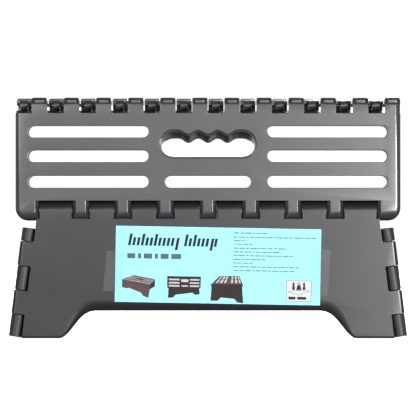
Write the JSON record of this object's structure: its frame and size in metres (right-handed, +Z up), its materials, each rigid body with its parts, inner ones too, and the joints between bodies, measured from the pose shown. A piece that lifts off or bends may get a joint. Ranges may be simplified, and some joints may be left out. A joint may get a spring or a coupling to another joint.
{
  "type": "folding step stool",
  "caption": "Folding plastic step stool shown folded flat: two slotted half tops on a finger hinge, two leg panels and two ends that fold in halves.",
  "frame": {"origin": "on the floor under the feet, midway along the stool, on the plane between its front and rear halves when folded", "axes": "+X along the stool, +Y from the front half with the card to the rear half, +Z up"},
  "size_m": [0.3792, 0.0398, 0.2288],
  "materials": {
    "charcoal_plastic": "satin moulded polypropylene",
    "pin_nylon": "plain black nylon rod",
    "cyan_card": "coated card",
    "clear_tape": "clear tape"
  },
  "bodies": {
    "front_leg": {"leg_front": "charcoal_plastic", "pin_top_front": "pin_nylon", "pin_leg_front_left": "pin_nylon", "pin_leg_front_right": "pin_nylon", "label_card": "cyan_card", "tape_left": "clear_tape", "tape_right": "clear_tape"},
    "front_top": {"top_front": "charcoal_plastic", "pin_centre_left": "pin_nylon", "pin_centre_right": "pin_nylon"},
    "rear_top": {"top_rear": "charcoal_plastic"},
    "rear_leg": {"leg_rear": "charcoal_plastic", "pin_top_rear": "pin_nylon", "pin_leg_rear_left": "pin_nylon", "pin_leg_rear_right": "pin_nylon"},
    "left_front_end": {"end_left_front": "charcoal_plastic", "pin_end_left": "pin_nylon"},
    "left_rear_end": {"end_left_rear": "charcoal_plastic"},
    "right_front_end": {"end_right_front": "charcoal_plastic", "pin_end_right": "pin_nylon"},
    "right_rear_end": {"end_right_rear": "charcoal_plastic"}
  },
  "joints": [
    {"name": "front_fold", "type": "hinge", "parent": "front_leg", "child": "front_top", "pos_m": [0, -0.0103, 0.1208], "axis": [-1, 0, 0], "range_deg": [0, 90]},
    {"name": "centre_fold", "type": "hinge", "parent": "front_top", "child": "rear_top", "pos_m": [0, 0, 0.2216], "axis": [1, 0, 0], "range_deg": [0, 180]},
    {"name": "rear_fold", "type": "hinge", "parent": "rear_top", "child": "rear_leg", "pos_m": [0, 0.0103, 0.1208], "axis": [-1, 0, 0], "range_deg": [0, 90]},
    {"name": "left_end_fold", "type": "hinge", "parent": "front_leg", "child": "left_front_end", "pos_m": [-0.18345, -0.0103, 0], "axis": [0.1262, 0, 0.992], "range_deg": [0, 90]},
    {"name": "left_mid_fold", "type": "hinge", "parent": "left_front_end", "child": "left_rear_end", "pos_m": [-0.08345, 0, -0.01272], "axis": [-0.1262, 0, -0.992], "range_deg": [0, 180]},
    {"name": "right_end_fold", "type": "hinge", "parent": "front_leg", "child": "right_front_end", "pos_m": [0.18345, -0.0103, 0], "axis": [0.1262, 0, -0.992], "range_deg": [0, 90]},
    {"name": "right_mid_fold", "type": "hinge", "parent": "right_front_end", "child": "right_rear_end", "pos_m": [0.08345, 0, -0.01272], "axis": [-0.1262, 0, 0.992], "range_deg": [0, 180]}
  ],
  "couplings": [
    {"joint": "centre_fold", "follows": "front_fold", "ratio": 2},
    {"joint": "rear_fold", "follows": "front_fold", "ratio": 1},
    {"joint": "left_end_fold", "follows": "front_fold", "ratio": 1},
    {"joint": "left_mid_fold", "follows": "front_fold", "ratio": 2},
    {"joint": "right_end_fold", "follows": "front_fold", "ratio": 1},
    {"joint": "right_mid_fold", "follows": "front_fold", "ratio": 2}
  ]
}
